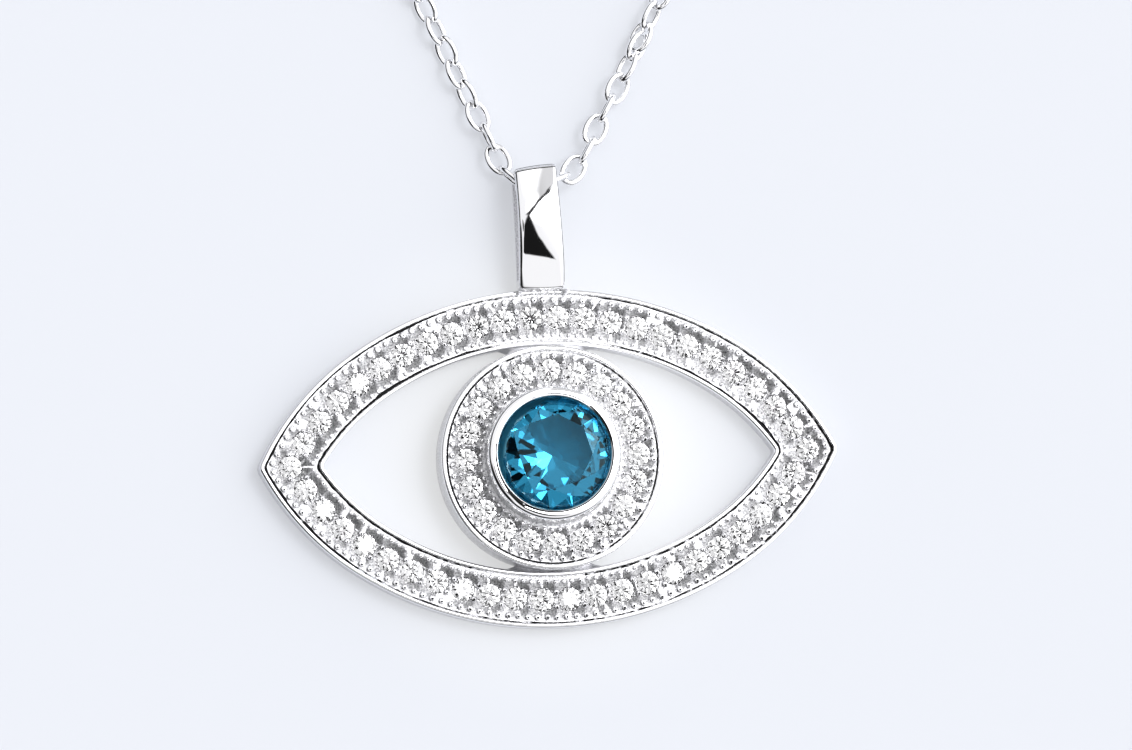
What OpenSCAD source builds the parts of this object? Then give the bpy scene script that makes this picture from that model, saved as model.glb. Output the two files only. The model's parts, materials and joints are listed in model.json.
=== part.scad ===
// Evil eye pendant, lying face up, on a cable chain laid out as a whole necklace loop.
// Millimetres. The origin is on the back plane under the middle of the iris.
// X runs to the wearer's left tip of the eye, Y towards the bail, Z out of the face.

/* [Eye band] */
// Length of the eye from tip to tip
eye_l = 28; // [27.8:0.1:28.4]
// Height of the eye at its middle
eye_h = 16.2; // [16:0.1:16.4]
// Radius of the long arcs over and under the iris
brow_r = 17; // [16.8:0.1:17.2]
// Radius of the tighter arcs that run to the tips
flank_r = 13.2; // [13.1:0.1:13.4]
// Width of the band, lips included
band_w = 2.7; // [2.6:0.05:2.8]
// Thickness of the band at its lips
band_t = 1.2; // [1.1:0.05:1.4]
// Width of the outer lip
outer_lip_w = 0.22; // [0.2:0.01:0.3]
// Width of the inner lip
inner_lip_w = 0.32; // [0.28:0.01:0.36]
// Depth of the stone floor below the lips
floor_drop = 0.16; // [0.12:0.01:0.2]

/* [Iris] */
// Diameter of the iris disc
iris_d = 10.7; // [10.5:0.05:10.8]
// Thickness of the iris disc at its lip
iris_t = 2.1; // [1.9:0.05:2.3]
// Width of the disc's lip
iris_lip_w = 0.26; // [0.22:0.01:0.32]
// Outer diameter of the bezel
bezel_d = 6.45; // [6.35:0.05:6.55]
// Height of the bezel above the back plane
bezel_h = 3.4; // [3.3:0.05:3.6]
// Diameter of the bezel's mouth
bezel_mouth_d = 5.27; // [5.2:0.01:5.3]
// Reach of each solder web to either side of the middle line
web_reach = 2.6; // [2.2:0.1:2.8]

/* [Stones] */
// Diameter of the centre stone
centre_d = 5.5; // [5.4:0.05:5.55]
// Diameter of the small stones
pave_d = 1.1; // [1:0.02:1.12]
// Small stones round the band
eye_stone_n = 46; // [40:2:46]
// Small stones round the iris
iris_stone_n = 20; // [16:1:20]

/* [Bail] */
// Length of the bail, from its foot to its fold
bail_l = 5.85; // [5.6:0.05:6]
// Width of the bail at its foot
bail_foot_w = 2.25; // [2.1:0.05:2.4]
// Width of the bail at its fold
bail_fold_w = 2; // [1.9:0.05:2.1]
// Depth of the bail, back to front
bail_depth = 2.6; // [2.5:0.05:2.8]
// Thickness of the bail's strip
bail_t = 0.4; // [0.36:0.02:0.44]

/* [Chain] */
// Width of the chain over its links
chain_w = 1.24; // [1.1:0.02:1.26]
// Outer diameter of the clasp's ring
clasp_d = 5.8; // [5.4:0.1:6]
// Thickness of the clasp's ring
clasp_t = 1.1; // [1:0.05:1.2]

/* [Hidden] */
$fn = 96;

silver = "silver";
clear = "whitesmoke";

// Gap between a stone and the metal that holds it
seat_gap = 0.04;
// Small bevel on the disc's and bezel's edges, and the wider one between a lip and its floor
edge = 0.06;
bevel = 0.12;
// Overlap that keeps unions and cuts clear of shared faces
eps = 0.01;

// Outline of the eye. Its upper half is a long arc about brow_c, met without a
// corner by two tighter arcs about flank_c that run to the tips.
tip = [eye_l / 2, 0];
brow_c = [0, eye_h / 2 - brow_r];
flank_c = circles_meet(brow_c, brow_r - flank_r, tip, flank_r);
turn = atan2(flank_c.x, flank_c.y - brow_c.y);

// Middle line of the band, where its stones sit
mid_in = band_w / 2;
brow_run = (brow_r - mid_in) * turn * PI / 180;
flank_run = (flank_r - mid_in) * (tip_turn(mid_in) - turn) * PI / 180;
quarter_run = brow_run + flank_run;

band_floor = band_t - floor_drop;
iris_floor = iris_t - floor_drop;
iris_ring_r = (bezel_d / 2 + iris_d / 2 - iris_lip_w) / 2;

// Proportions of a round brilliant, as shares of its diameter
table_share = 0.57;
crown_share = 0.15;
girdle_share = 0.03;
pavilion_share = 0.43;

// Keel facets of a brilliant, where they end near its point, as a share of its radius
keel_share = 0.22;

// Depth of the centre stone's girdle below the bezel's rim, and the rim's rounding
girdle_drop = 0.42;
rim_r = 0.25;
centre_girdle_z = bezel_h - girdle_drop;
culet_z = centre_girdle_z - pavilion_share * centre_d;

// The bail sinks a little into the band. Its face is a long arc, highest at the crest.
bail_sink = 0.1;
bail_foot_y = eye_h / 2 - bail_sink;
bail_fold_y = bail_foot_y + bail_l;
bail_brow_r = 6.9;
bail_crest_y = bail_fold_y - 2.25;
bail_round_r = 0.3;
bail_inner_r = 0.05;
bail_back_w = bail_fold_w - 0.2;

// The clasp rests on the surface by its eye's side. Its far side lies on the wire of the
// ring at the end of the chain, so it is tilted a little.
clasp_lift = 0.39;
clasp_tilt = asin(clasp_lift / (clasp_d - clasp_t));
clasp_z = (clasp_t + clasp_lift) / 2 + eps;

// The chain's route in the plane, chosen by hand, with its height as z. It starts at the
// clasp's eye, comes down the left, passes through the bail and goes up the right.
chain_z = chain_w / 2 + eps;
bail_pass_z = 1.15;
chain_end_z = clasp_z + clasp_lift / 2;
route = [
    [0.4, 169, chain_z], [-15, 166.5, chain_z], [-29, 159, chain_z], [-40, 146, chain_z],
    [-46, 128, chain_z], [-45, 107, chain_z], [-38, 87, chain_z], [-28.5, 68, chain_z],
    [-18.5, 50, chain_z], [-10.5, 34, chain_z], [-4.8, 21.4, chain_z], [-3, 17.1, chain_z],
    [-2.3, 14.9, 0.75], [-1.85, 13.5, 1], [-1.1, 12.6, bail_pass_z], [0, 12.45, bail_pass_z],
    [1.1, 12.6, bail_pass_z], [1.9, 13.5, 1], [2.6, 14.9, 0.75], [3.7, 17.1, chain_z],
    [6, 21.4, chain_z], [13, 34, chain_z], [22.5, 50, chain_z], [34, 68, chain_z],
    [45, 87, chain_z], [53, 107, chain_z], [54.5, 128, chain_z], [49, 146, chain_z],
    [38.5, 159, chain_z], [24.5, 166.5, chain_z], [8.1, 169, chain_end_z]
];
route_steps = 2;
tube_sides = 8;

clasp_c = [5, 169];
clasp_eye_d = 1.7;
clasp_eye_t = 0.4;

// Meeting point, on the right, of circle (a, ra) with circle (b, rb)
function circles_meet(a, ra, b, rb) =
    let (
        gap = norm(b - a),
        u = (b - a) / gap,
        along = (ra * ra - rb * rb + gap * gap) / (2 * gap),
        aside = sqrt(ra * ra - along * along)
    )
    a + along * u + aside * [u.y, -u.x] * (u.x > 0 ? -1 : 1);

// A point of the eye's upper half, drawn in by some depth, where its face turns by angle a
function edge_point(in, a) =
    abs(a) < turn
        ? brow_c + (brow_r - in) * [sin(a), cos(a)]
        : [sign(a) * flank_c.x, flank_c.y] + (flank_r - in) * [sin(a), cos(a)];

// That angle at the tip
function tip_turn(in) = acos(-flank_c.y / (flank_r - in));

// Outline of the whole eye, drawn in by some depth, with n steps to each half
function outline(in, n) =
    let (upper = [for (k = [0 : n]) edge_point(in, tip_turn(in) * (1 - 2 * k / n))])
    concat(upper, [for (k = [1 : n - 1]) -upper[k]]);

// A point of the middle line's upper right quarter, by its run from the top
function quarter_point(run) =
    edge_point(mid_in, run < brow_run
        ? run / (brow_r - mid_in) * 180 / PI
        : turn + (run - brow_run) / (flank_r - mid_in) * 180 / PI);

// A point of the whole middle line, by its run from the right tip, anticlockwise
function eye_point(run) =
    let (
        side = run < 2 * quarter_run ? 1 : -1,
        from_top = quarter_run - (side > 0 ? run : run - 2 * quarter_run),
        p = quarter_point(abs(from_top))
    )
    side * [sign(from_top) * p.x, p.y];

// Centres of the small stones
eye_stone_places = [for (i = [0 : eye_stone_n - 1]) eye_point(i * 4 * quarter_run / eye_stone_n)];
iris_stone_places = [
    for (i = [0 : iris_stone_n - 1])
        let (a = 90 + i * 360 / iris_stone_n) iris_ring_r * [cos(a), sin(a)]
];

// Points along an arc of radius r about c, from angle from to angle to, in n steps
function arc_points(c, r, from, to, n) =
    [for (k = [0 : n]) let (a = from + (to - from) * k / n) c + r * [cos(a), sin(a)]];

// Ring of n points of radius r at height z
function ring(n, r, z, start = 0) =
    [for (i = [0 : n - 1]) let (a = start + i * 360 / n) [r * cos(a), r * sin(a), z]];

// Place on a smooth curve through the route, u from 0 at its first point
function smooth(p, u) =
    let (
        last = len(p) - 1,
        i = min(floor(u), last - 1),
        t = u - i,
        a = p[max(i - 1, 0)],
        b = p[i],
        c = p[i + 1],
        d = p[min(i + 2, last)]
    )
    0.5 * (2 * b + (c - a) * t + (2 * a - 5 * b + 4 * c - d) * t * t + (3 * b - a - 3 * c + d) * t * t * t);

// A lip that stands between two depths from the eye's edge
module lip(from, to) {
    steps = 60;
    linear_extrude(band_t)
        difference() {
            polygon(outline(from, steps));
            polygon(outline(to, steps));
        }
}

// The floor between the lips, cut for its stones. Its sides lie inside the lips.
module band_floor_plate() {
    steps = 40;
    difference() {
        linear_extrude(band_floor)
            difference() {
                polygon(outline(outer_lip_w * 0.6, steps));
                polygon(outline(band_w - inner_lip_w * 0.6, steps));
            }
        for (p = eye_stone_places)
            translate([p.x, p.y, band_floor])
                seat();
    }
}

// Disc, bezel and cup in one turned section
module iris_disc() {
    lip_r = iris_d / 2;
    wall_r = bezel_d / 2;
    mouth_r = bezel_mouth_d / 2;
    seat_r = centre_d / 2 + seat_gap;
    crown_slope = crown_share / (0.5 - table_share / 2);
    girdle_top = centre_girdle_z + girdle_share * centre_d;
    lip_under = girdle_top + seat_gap + (seat_r - mouth_r) * crown_slope;
    cup_floor = culet_z - bevel;
    cup_r = 0.3;
    rotate_extrude()
        polygon([
            [0, 0], [lip_r - edge, 0], [lip_r, edge], [lip_r, iris_t - edge], [lip_r - edge, iris_t],
            [lip_r - iris_lip_w, iris_t], [lip_r - iris_lip_w - bevel, iris_floor],
            [wall_r, iris_floor],
            each arc_points([wall_r - rim_r, bezel_h - rim_r], rim_r, 0, 90, 4),
            [mouth_r + edge, bezel_h], [mouth_r, bezel_h - edge], [mouth_r, lip_under],
            [seat_r, girdle_top + seat_gap], [seat_r, centre_girdle_z - seat_gap],
            [cup_r, cup_floor], [0, cup_floor]
        ]);
}

// Solder web between the disc and the band's inner lip, with hollow ends
module solder_web() {
    lap = 0.1;
    step_in = 0.15;
    near_y = sqrt(pow(iris_d / 2, 2) - pow(web_reach, 2)) - lap;
    far_y = eye_h / 2 - band_w + lap;
    end_r = (far_y - near_y) * 0.4;
    translate([0, 0, step_in])
        linear_extrude(band_t - 2 * step_in)
            difference() {
                translate([-web_reach, near_y])
                    square([2 * web_reach, far_y - near_y]);
                for (side = [-1, 1])
                    translate([side * (web_reach + end_r / 2), near_y + end_r])
                        circle(end_r);
            }
}

// Seat of one small stone, cut from above
module seat() {
    r = pave_d / 2 + seat_gap;
    depth = pavilion_share * pave_d + 2 * seat_gap;
    foot_r = 0.06;
    rotate_extrude()
        polygon([[0, -depth], [foot_r, -depth], [r, -seat_gap], [r, 1], [0, 1]]);
}

// Side outline of the bail, y across and z up, drawn inset by i
module bail_side(i, foot_y) {
    big_c = [bail_crest_y, bail_depth - bail_brow_r];
    round_r = max(bail_round_r - i, bail_inner_r);
    reach = bail_brow_r - i - round_r;
    fold_y = bail_fold_y - i - round_r;
    near_foot_y = foot_y + i + round_r;
    fold_c = [fold_y, big_c.y + sqrt(pow(reach, 2) - pow(fold_y - big_c.x, 2))];
    foot_c = [near_foot_y, big_c.y + sqrt(pow(reach, 2) - pow(near_foot_y - big_c.x, 2))];
    back_c = [fold_c.x, i + round_r];
    foot_edge = foot_y + i;
    intersection() {
        translate(big_c)
            circle(bail_brow_r - i, $fn = 360);
        polygon([
            [foot_c.x, i], [back_c.x, i], fold_c,
            fold_c + (fold_c - big_c) * 0.2, foot_c + (foot_c - big_c) * 0.2, foot_c
        ]);
    }
    for (c = [fold_c, foot_c, back_c])
        translate(c)
            circle(round_r);
    translate([foot_edge, i])
        square([foot_c.x - foot_edge, foot_c.y - i]);
    translate([back_c.x, back_c.y])
        square([round_r, fold_c.y - back_c.y]);
    translate([foot_c.x - eps, i])
        square([back_c.x - foot_c.x + 2 * eps, bail_t]);
}

// The bail: a closed strip, narrower at its fold and at its back
module bail() {
    long = 20;
    foot_set_in = 0.15;
    intersection() {
        rotate([90, 0, 90])
            translate([0, 0, -long / 2])
                linear_extrude(long)
                    difference() {
                        bail_side(0, bail_foot_y);
                        bail_side(bail_t, bail_foot_y + foot_set_in);
                    }
        linear_extrude(long, center = true)
            polygon([
                [-bail_foot_w / 2, bail_foot_y - 1], [bail_foot_w / 2, bail_foot_y - 1],
                [bail_fold_w / 2, bail_fold_y + 1], [-bail_fold_w / 2, bail_fold_y + 1]
            ]);
        translate([0, long, 0])
            rotate([90, 0, 0])
                linear_extrude(2 * long)
                    polygon([
                        [-bail_back_w / 2, -1], [bail_back_w / 2, -1], [bail_back_w / 2, bail_t],
                        [bail_foot_w / 2, bail_depth - bail_t], [bail_foot_w / 2, long],
                        [-bail_foot_w / 2, long], [-bail_foot_w / 2, bail_depth - bail_t],
                        [-bail_back_w / 2, bail_t]
                    ]);
    }
}

// Round brilliant of diameter d with its girdle's lower edge at z = 0
module brilliant(d) {
    g = d / 2;
    table_r = table_share * g;
    star_r = (table_r * cos(22.5) + g) / 2;
    keel_r = keel_share * g;
    girdle = girdle_share * d;
    crown = crown_share * d;
    depth = pavilion_share * d;
    star_z = girdle + crown * (g - star_r * cos(22.5)) / (g - table_r);
    keel_z = -depth * (1 - keel_r * cos(22.5) / g);
    points = concat(
        ring(8, table_r, girdle + crown),
        ring(8, star_r, star_z, 22.5),
        ring(16, g, girdle),
        ring(16, g, 0),
        ring(8, keel_r, keel_z, 22.5),
        [[0, 0, -depth]]
    );
    star = 8;
    top = 16;
    low = 32;
    keel = 48;
    culet = 56;
    faces = concat(
        [[for (k = [7 : -1 : 0]) k]],
        [for (k = [0 : 7]) [k, (k + 1) % 8, star + k]],
        [for (k = [0 : 7]) [k, star + k, top + 2 * k, star + (k + 7) % 8]],
        [for (k = [0 : 7]) [star + k, top + 2 * k + 1, top + 2 * k]],
        [for (k = [0 : 7]) [star + k, top + (2 * k + 2) % 16, top + 2 * k + 1]],
        [for (k = [0 : 15]) [top + k, top + (k + 1) % 16, low + (k + 1) % 16, low + k]],
        [for (k = [0 : 7]) [keel + k, low + 2 * k, low + 2 * k + 1]],
        [for (k = [0 : 7]) [keel + k, low + 2 * k + 1, low + (2 * k + 2) % 16]],
        [for (k = [0 : 7]) [culet, keel + (k + 7) % 8, low + 2 * k, keel + k]]
    );
    polyhedron(points, faces);
}

// The cast and soldered silver: band, disc, bezel, webs and bail
module eye_setting() {
    color(silver) {
        band_floor_plate();
        lip(0, outer_lip_w);
        lip(band_w - inner_lip_w, band_w);
        difference() {
            iris_disc();
            for (p = iris_stone_places)
                translate([p.x, p.y, iris_floor])
                    seat();
        }
        solder_web();
        mirror([0, 1, 0])
            solder_web();
        bail();
    }
}

// The band's white stones
module eye_stones() {
    color(clear)
        for (i = [0 : eye_stone_n - 1])
            translate([eye_stone_places[i].x, eye_stone_places[i].y, band_floor])
                rotate(i * 17)
                    brilliant(pave_d);
}

// The iris's white stones
module iris_stones() {
    color(clear)
        for (i = [0 : iris_stone_n - 1])
            translate([iris_stone_places[i].x, iris_stone_places[i].y, iris_floor])
                rotate(i * 31)
                    brilliant(pave_d);
}

// The blue stone in the bezel
module centre_stone() {
    color("steelblue")
        translate([0, 0, centre_girdle_z])
            rotate(10)
                brilliant(centre_d);
}

// The chain's outer form, a tube swept along its route
module chain() {
    count = (len(route) - 1) * route_steps;
    centres = [for (k = [0 : count]) smooth(route, k / route_steps)];
    r = chain_w / 2 / cos(180 / tube_sides);
    points = [
        for (k = [0 : count])
            let (
                ahead = centres[min(k + 1, count)] - centres[max(k - 1, 0)],
                side = cross(ahead, [0, 0, 1]) / norm(cross(ahead, [0, 0, 1])),
                up = cross(side, ahead) / norm(cross(side, ahead))
            )
            for (j = [0 : tube_sides - 1])
                let (a = (j + 0.5) * 360 / tube_sides) centres[k] + r * (cos(a) * side + sin(a) * up)
    ];
    faces = concat(
        [[for (j = [tube_sides - 1 : -1 : 0]) j]],
        [
            for (k = [0 : count - 1])
                for (j = [0 : tube_sides - 1])
                    let (n = (j + 1) % tube_sides, a = k * tube_sides, b = a + tube_sides)
                    [a + j, a + n, b + n, b + j]
        ],
        [[for (j = [0 : tube_sides - 1]) count * tube_sides + j]]
    );
    color(silver)
        polyhedron(points, faces);
}

// Plain ring clasp with a small eye for the chain's first end
module clasp() {
    ring_r = (clasp_d - clasp_t) / 2;
    eye_r = (clasp_eye_d - clasp_eye_t) / 2;
    color(silver)
        translate([clasp_c.x, clasp_c.y, clasp_z])
            rotate([0, -clasp_tilt, 0]) {
                rotate_extrude()
                    translate([ring_r, 0])
                        circle(d = clasp_t, $fn = 24);
                translate([-clasp_d / 2 - eye_r, 0, 0])
                    rotate_extrude()
                        translate([eye_r, 0])
                            circle(d = clasp_eye_t, $fn = 16);
            }
}

eye_setting();
eye_stones();
iris_stones();
centre_stone();
chain();
clasp();
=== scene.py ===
# %% [markdown]
# # An evil eye pendant in silver, on its chain
# The piece is a pointed oval band, set with small white stones, round a disc with a blue
# stone. It hangs by a folded bail on a fine cable chain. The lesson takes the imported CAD
# model as a fixed frame, keeps its clasp, and builds finer metal, stones and links over it.

# %% Load the frame
import json
from math import acos, atan2, ceil, copysign, cos, exp, pi, radians, sin, sqrt
import bpy
import bmesh
import numpy as np
from mathutils import Matrix, Vector
from mathutils.geometry import delaunay_2d_cdt

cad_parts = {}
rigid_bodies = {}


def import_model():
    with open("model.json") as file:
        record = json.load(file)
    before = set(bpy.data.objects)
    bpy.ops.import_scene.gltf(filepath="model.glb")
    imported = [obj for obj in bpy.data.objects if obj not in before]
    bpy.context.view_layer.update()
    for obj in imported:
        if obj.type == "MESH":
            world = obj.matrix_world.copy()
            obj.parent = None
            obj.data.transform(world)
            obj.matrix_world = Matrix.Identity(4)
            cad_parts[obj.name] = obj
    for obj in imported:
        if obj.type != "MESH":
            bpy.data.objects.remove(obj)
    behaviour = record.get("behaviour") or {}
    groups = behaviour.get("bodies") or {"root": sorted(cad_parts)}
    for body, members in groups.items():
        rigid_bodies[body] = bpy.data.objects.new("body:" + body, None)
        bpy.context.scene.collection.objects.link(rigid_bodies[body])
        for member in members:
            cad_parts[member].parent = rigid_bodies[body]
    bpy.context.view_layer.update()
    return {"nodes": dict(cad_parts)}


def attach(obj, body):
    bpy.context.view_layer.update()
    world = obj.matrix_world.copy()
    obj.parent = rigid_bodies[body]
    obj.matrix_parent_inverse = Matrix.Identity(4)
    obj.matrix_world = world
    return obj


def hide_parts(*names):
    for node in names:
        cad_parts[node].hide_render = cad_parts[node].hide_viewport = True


scene = bpy.context.scene
for thing in list(bpy.data.objects):
    bpy.data.objects.remove(thing)
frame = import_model()
MM = 0.001
print("nodes:", ", ".join(sorted(frame["nodes"])))

# %% [markdown]
# ## Camera
# The photograph looks almost straight down through a long lens, leaning a little towards
# the lower left. The camera is placed by that lean and by the point that it looks at, so
# that the picture is 54.06 mm wide at the height of the band's lips.

# %% Camera
VIEW_W, DISTANCE, SENSOR = 54.06, 450.0, 36.0
ROLL = radians(-2.2)


def way_to(azimuth, elevation):
    """The way to a place in the sky, by two angles in degrees."""
    a, e = radians(azimuth), radians(elevation)
    return Vector((cos(a) * cos(e), sin(a) * cos(e), sin(e)))


aim = Vector((0.935, 3.956, 1.2)) * MM
to_lens = way_to(205.8, 80.5)
swing = Vector((0, 0, 1)).rotation_difference(to_lens).to_matrix()
right = swing @ Vector((cos(ROLL), sin(ROLL), 0))
up = swing @ Vector((-sin(ROLL), cos(ROLL), 0))
camera = bpy.data.objects.new("camera", bpy.data.cameras.new("camera"))
scene.collection.objects.link(camera)
turned = Matrix((right, up, to_lens)).transposed().to_4x4()
camera.matrix_world = Matrix.Translation(aim + to_lens * DISTANCE * MM) @ turned
camera.data.sensor_width = SENSOR
camera.data.lens = SENSOR * DISTANCE / VIEW_W
camera.data.clip_start, camera.data.clip_end = 0.01, 100
scene.camera = camera
scene.view_settings.view_transform = "Standard"
print("lens", round(camera.data.lens), "mm")

# %% [markdown]
# ## Small helpers
# Colours are written as the hex values that a picture shows, and one function turns them to
# the linear values that the renderer works in. Another adds a node with its settings and
# its links, and the tent and every material below are made with it.

# %% Colour and node helpers
RANGE = ("Value", "From Min", "From Max", "To Min", "To Max")
SOFT = {"interpolation_type": "SMOOTHSTEP"}


def linear(code):
    """A hex colour such as #A0B4C8 as linear red, green and blue, with an alpha of one."""
    parts = [int(code[i:i + 2], 16) / 255 for i in (1, 3, 5)]
    return tuple(c / 12.92 if c <= 0.04045 else ((c + 0.055) / 1.055) ** 2.4 for c in parts) + (1.0,)


def add_node(tree, kind, inputs=None, stops=(), **settings):
    """Adds a node. An input takes a number, a colour, a node or one of a node's outputs.

    stops are the places of a colour ramp, each with its hex colour."""
    made = tree.nodes.new("ShaderNode" + kind)
    for name, value in settings.items():
        setattr(made, name, value)
    for number, (place, colour) in enumerate(stops):
        stop = made.color_ramp.elements[number]
        stop.position, stop.color = place, linear(colour)
    for name, value in (inputs or {}).items():
        if isinstance(value, bpy.types.Node):
            value = next(output for output in value.outputs if output.enabled)
        if isinstance(value, bpy.types.NodeSocket):
            tree.links.new(value, made.inputs[name])
        else:
            made.inputs[name].default_value = value
    return made


def new_material(name):
    """An empty material and its node tree."""
    made = bpy.data.materials.new(name)
    made.use_nodes = True
    made.node_tree.nodes.clear()
    return made, made.node_tree


print("mid grey in linear light:", round(linear("#808080")[0], 3))

# %% [markdown]
# ## Light
# Small bright metal is photographed inside a white tent: almost all that it mirrors is
# white, and its shape is drawn by the few dark things that are left. Those are the slot
# overhead, the lens in it, the shade that the photographer throws, a seam with a greyer
# panel behind it, and the dark room under the tent's lower edge. A lamp stands close behind
# the cloth, and the middle stone throws its light back. The tent is a world shader that
# looks at the direction alone, so each place is a few dot products and a soft step.

# %% White tent
world = bpy.data.worlds.new("white_tent")
scene.world = world
world.use_nodes = True
tent = world.node_tree
tent.nodes.clear()
way = add_node(tent, "TexCoord").outputs["Generated"]
SIDES = {"rim": (0.315, 0.154, 0.937), "across": (0.836, -0.55, 0), "along": (0.55, 0.836, 0),
         "sun": (0.933, 0.361, 0), "lens": to_lens, "lamp": way_to(31, 72), "body": way_to(208, 45)}
toward = {name: add_node(tent, "VectorMath", {0: way, 1: side}, operation="DOT_PRODUCT")
          for name, side in SIDES.items()}
# The slot's sides, each a way to lean and how far the slot reaches that way. The first two
# share the right side, which bends inwards where they meet.
SLOT = (((0.9645, 0.2645, 0), 0.0521, "MINIMUM"), ((0.896, 0.4436, 0), 0.0081, "MINIMUM"),
        ((-0.945, 0.326, 0), 0.0035, "MAXIMUM"), ((-0.193, -0.981, 0), 0.4454, "MAXIMUM"))
beside_slot = 1.0
for side, reach, how in SLOT:
    leaning = add_node(tent, "VectorMath", {0: way, 1: side}, operation="DOT_PRODUCT")
    soft_edge = {"Value": leaning, "From Min": reach - 0.008, "From Max": reach + 0.012}
    beyond = add_node(tent, "MapRange", soft_edge, **SOFT)
    beside_slot = add_node(tent, "Math", {0: beside_slot, 1: beyond}, operation=how)
print(len(SIDES), "ways to look, and a slot of", len(SLOT), "sides")

# %% Seam and grey panel
# From the slot's tip a seam runs up the tent, and the panel behind it is a little grey.
bend = add_node(tent, "MapRange", dict(zip(RANGE, (toward["along"], 0.30, 0.54, 0.0264, -0.012))))
from_seam = add_node(tent, "Math", {0: toward["across"], 1: bend}, operation="ADD")
off_seam = add_node(tent, "Math", {0: from_seam}, operation="ABSOLUTE")
eastward = add_node(tent, "SeparateXYZ", {0: way}).outputs["X"]
# Each is a value, where its soft step starts and ends, and what it gives there
SEAM_STEPS = {
    "beside": (off_seam, 0.011, 0.024, 0.01, 1.0), "behind": (from_seam, -0.012, -0.002, 1.0, 0.0),
    "past end": (toward["along"], 0.46, 0.54, 0.0, 1.0), "far side": (eastward, 0.08, 0.17, 0.0, 0.62),
    "before start": (toward["along"], 0.05, 0.09, 1.0, 0.0),
}
step = {name: add_node(tent, "MapRange", dict(zip(RANGE, row)), **SOFT) for name, row in SEAM_STEPS.items()}
open_cloth = add_node(tent, "Math", {0: step["past end"], 1: step["before start"]}, operation="MAXIMUM")
seam = add_node(tent, "Math", {0: open_cloth, 1: step["beside"]}, operation="MAXIMUM")
panel = add_node(tent, "Math", {0: step["far side"], 1: step["behind"]}, operation="MULTIPLY")
panel_light = add_node(tent, "Math", {0: 1.0, 1: panel}, operation="SUBTRACT")
print("seam of", len(SEAM_STEPS), "soft steps")

# %% Glow of the tent
slot_light = add_node(tent, "MapRange", {"Value": beside_slot, "To Min": 0.01})
lamp_top = add_node(tent, "MapRange", dict(zip(RANGE, (panel, 0.0, 0.62, 5.4, 1.0))))
# Round places: the angles in degrees of their soft edge and full strength, and that strength
ROUND = {"lens": (5.5, 4.5, 0.02), "lamp": (16, 7, lamp_top), "body": (20, 14, 0.04)}
rows = {name: (toward[name], cos(radians(edge)), cos(radians(full)), 1.0, strength)
        for name, (edge, full, strength) in ROUND.items()}
rows |= {"walls": (toward["rim"], 0.26, 0.46, 0.02, 1.0), "sun": (toward["sun"], 0.06, 0.42, 1.05, 2.1)}
light = {name: add_node(tent, "MapRange", dict(zip(RANGE, row)), **SOFT) for name, row in rows.items()}
glow = light["walls"]
for part in (light["lens"], light["lamp"], light["sun"], light["body"], slot_light, seam, panel_light):
    glow = add_node(tent, "Math", {0: glow, 1: part}, operation="MULTIPLY")
cloth = add_node(tent, "Background", {"Color": linear("#FDFDFF"), "Strength": glow})
add_node(tent, "OutputWorld", {"Surface": cloth})
print("the tent has", len(tent.nodes), "nodes")

# %% Softbox
softbox = bpy.data.objects.new("softbox", bpy.data.lights.new("softbox", "AREA"))
scene.collection.objects.link(softbox)
box_way = way_to(33, 57)
softbox.location = box_way * 0.7
softbox.rotation_mode = "QUATERNION"
softbox.rotation_quaternion = box_way.to_track_quat("Z", "Y")
softbox.data.shape = "DISK"
softbox.data.size = 0.28
softbox.data.energy = 0.8
softbox.data.color = linear("#FFFEFA")[:3]
print("softbox", round(softbox.data.size, 2), "m across")

# %% [markdown]
# ## Floor
# A sheet of matt white acrylic with a painted glow, as if lit a little from below on a light
# table. The glow is brighter and warmer in a painted pool of light round the middle, under the
# piece. It lifts the shadows, so that they stay pale round the metal and inside the eye. It is
# a hair below the metal, and large enough to fill the picture from any side.

# %% Floor
SHEET, BELOW = 8, -0.000005
acrylic, tree = new_material("matt_white_acrylic")
place = add_node(tree, "TexCoord").outputs["Object"]
from_middle = add_node(tree, "VectorMath", {0: place}, operation="LENGTH")
# A painted pool of light: the glow is strongest within 5 mm of the middle and fades out by 13 mm
painted_light_pool = add_node(tree, "MapRange", dict(zip(RANGE, (from_middle, 5 * MM, 13 * MM, 1.0, 0.0))), **SOFT)
tint = add_node(tree, "ValToRGB", {"Fac": painted_light_pool}, ((0, "#F8FAFF"), (1, "#FFFFFD")))
painted_glow = add_node(tree, "MapRange", {"Value": painted_light_pool, "To Min": 0.49, "To Max": 0.56})
shade = add_node(tree, "BsdfPrincipled", {
    "Base Color": linear("#909399"), "Roughness": 0.85, "Specular IOR Level": 0.1,
    "Emission Color": tint, "Emission Strength": painted_glow})
add_node(tree, "OutputMaterial", {"Surface": shade})
sheet = bpy.data.meshes.new("floor")
corners = [(x * SHEET, y * SHEET, BELOW) for x, y in ((-1, -1), (1, -1), (1, 1), (-1, 1))]
sheet.from_pydata(corners, [], [(0, 1, 2, 3)])
sheet.materials.append(acrylic)
floor = bpy.data.objects.new("floor", sheet)
scene.collection.objects.link(floor)
print("floor", 2 * SHEET, "m wide")
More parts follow.
